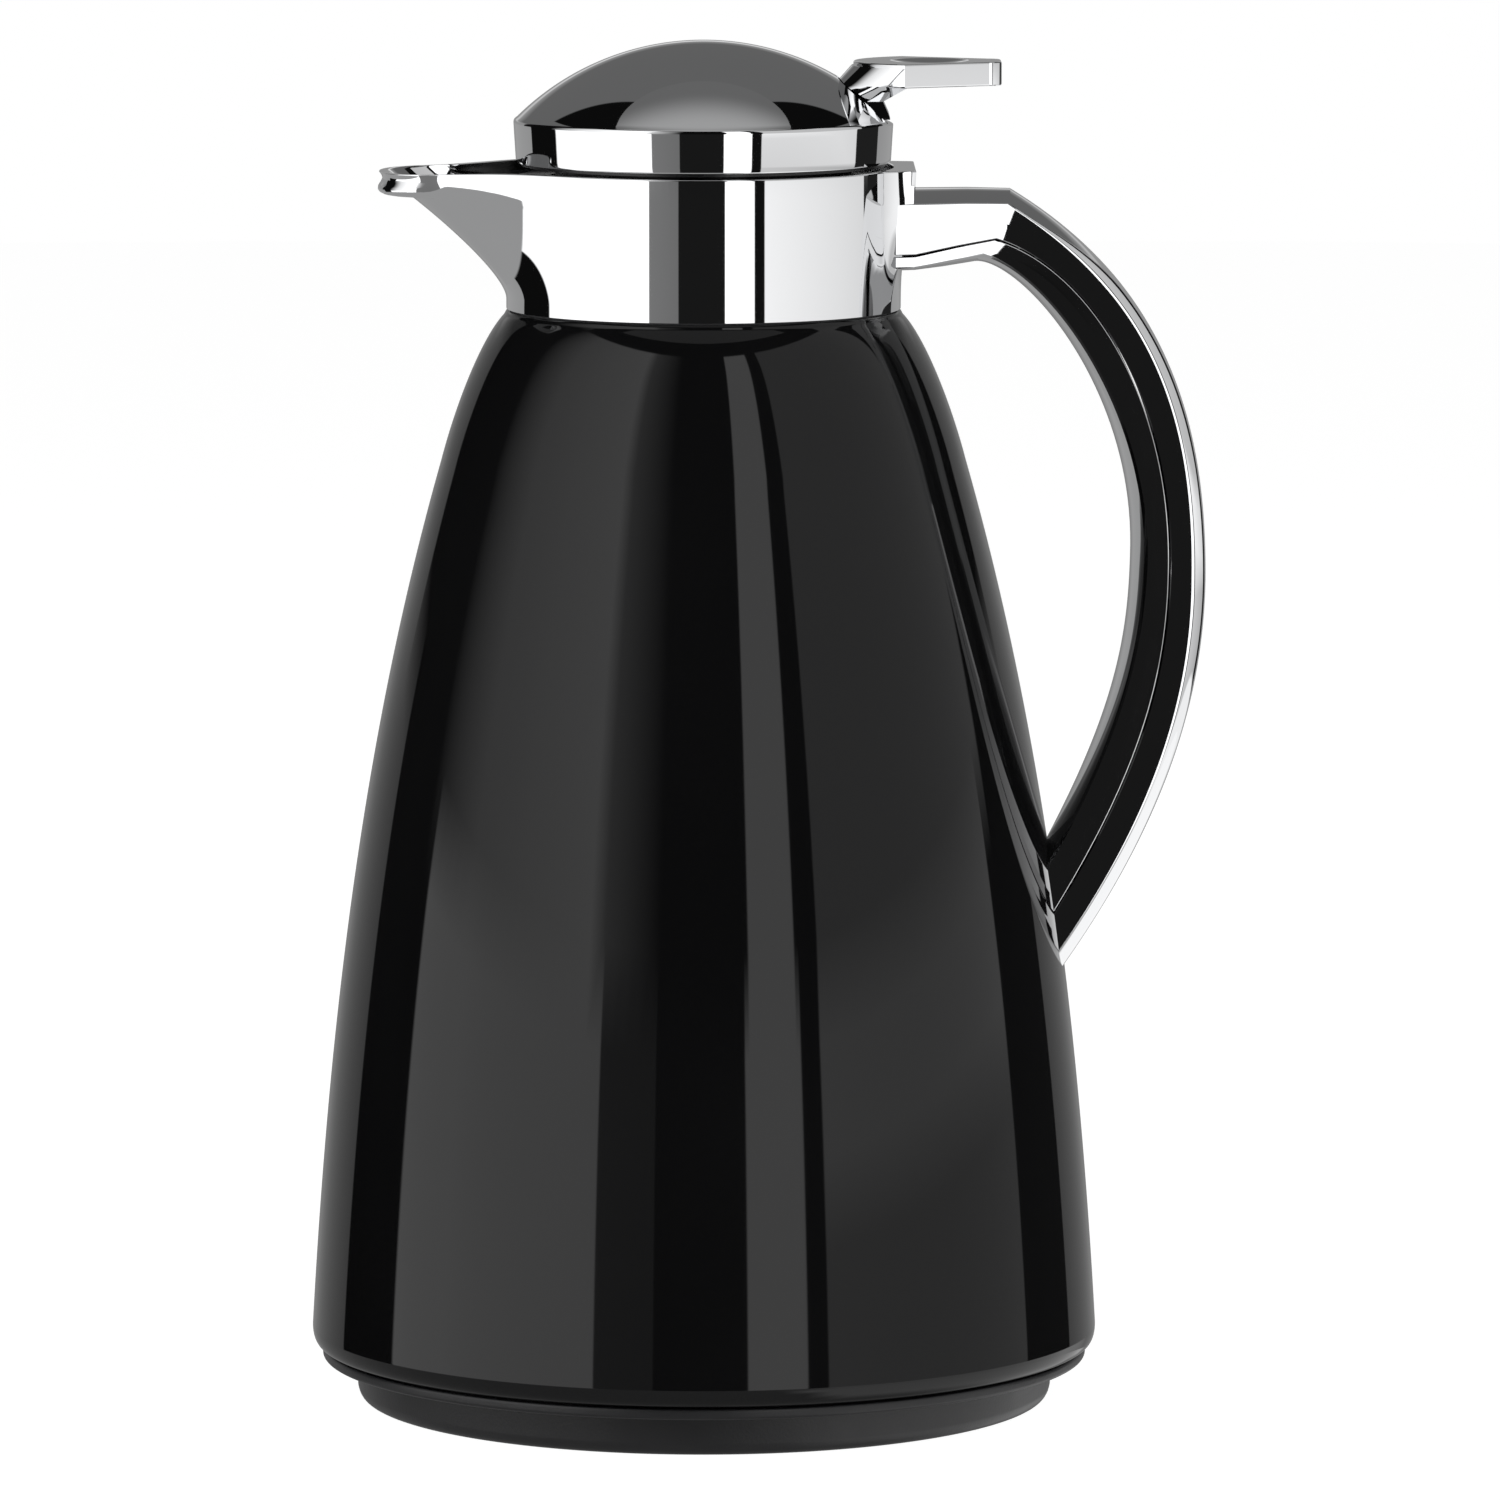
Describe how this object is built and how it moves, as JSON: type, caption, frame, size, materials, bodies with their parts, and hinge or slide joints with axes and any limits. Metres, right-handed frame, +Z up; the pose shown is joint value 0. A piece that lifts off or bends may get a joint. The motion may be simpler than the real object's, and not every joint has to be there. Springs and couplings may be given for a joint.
{
  "type": "thermal coffee jug",
  "caption": "Vacuum coffee jug with a tapered gloss body, bright collar with spout, hollow side handle and a screw-in lid whose thumb lever opens the pour valve.",
  "frame": {"origin": "centre of the foot on the resting plane", "axes": "+Z up along the body's axis, the handle towards +X, the spout towards -X"},
  "size_m": [0.1777, 0.1564, 0.2708],
  "materials": {
    "gloss_black_body": "high gloss",
    "satin_black_plastic": "satin",
    "black_plastic": "moulded",
    "pale_plastic": "moulded",
    "chrome": "polished",
    "silvered_glass": "silvered inside the vacuum",
    "dark_rubber": "matt",
    "pale_silicone": "matt",
    "spacer_felt": "felted",
    "screw_steel": "plated",
    "spring_steel": "drawn wire",
    "bracket_steel": "zinc plated"
  },
  "bodies": {
    "jug": {"base_cup": "satin_black_plastic", "outer_shell": "gloss_black_body", "liner_cushion": "dark_rubber", "glass_outer_flask": "silvered_glass", "glass_inner_flask": "silvered_glass", "flask_spacers": "spacer_felt", "mouth_seal": "pale_silicone", "clamp_ring": "black_plastic", "clamp_screws": "screw_steel", "collar_gasket": "dark_rubber", "collar": "chrome", "neck_ring": "black_plastic", "handle_outer_shell": "chrome", "handle_inner_shell": "chrome", "handle_bracket": "bracket_steel", "handle_screw": "screw_steel"},
    "seal": {"stopper_seal": "pale_silicone"},
    "lid": {"stopper_body": "black_plastic", "lid_deck": "black_plastic", "lid_cap": "chrome", "lid_screws": "screw_steel", "stem_guide": "pale_plastic", "lever_pin": "screw_steel", "valve_spring": "spring_steel"},
    "lever": {"thumb_lever": "chrome"},
    "valve": {"valve_stem": "screw_steel", "valve_disc": "black_plastic", "valve_washer": "pale_silicone", "stem_cross_pin": "screw_steel"}
  },
  "joints": [
    {"name": "lid_rise", "type": "slide", "parent": "jug", "child": "seal", "axis": [0, 0, 1], "range_m": [0, 0.04]},
    {"name": "lid_turn", "type": "hinge", "parent": "seal", "child": "lid", "pos_m": [0, 0, 0.2459], "axis": [0, 0, 1], "range_deg": [0, 900.2]},
    {"name": "lever_press", "type": "hinge", "parent": "lid", "child": "lever", "pos_m": [0.0325, 0, 0.2523], "axis": [0, 1, 0], "range_deg": [0, 11], "stiffness_Nm_per_rad": 0.6, "springref_deg": -8.59},
    {"name": "valve_rise", "type": "slide", "parent": "lid", "child": "valve", "axis": [0, 0, 1], "range_m": [0, 0.0063], "deforming": ["valve_spring"]}
  ],
  "couplings": [
    {"joint": "lid_turn", "follows": "lid_rise", "rad_per_m": 392.7},
    {"joint": "valve_rise", "follows": "lever_press", "m_per_rad": 0.0325}
  ]
}
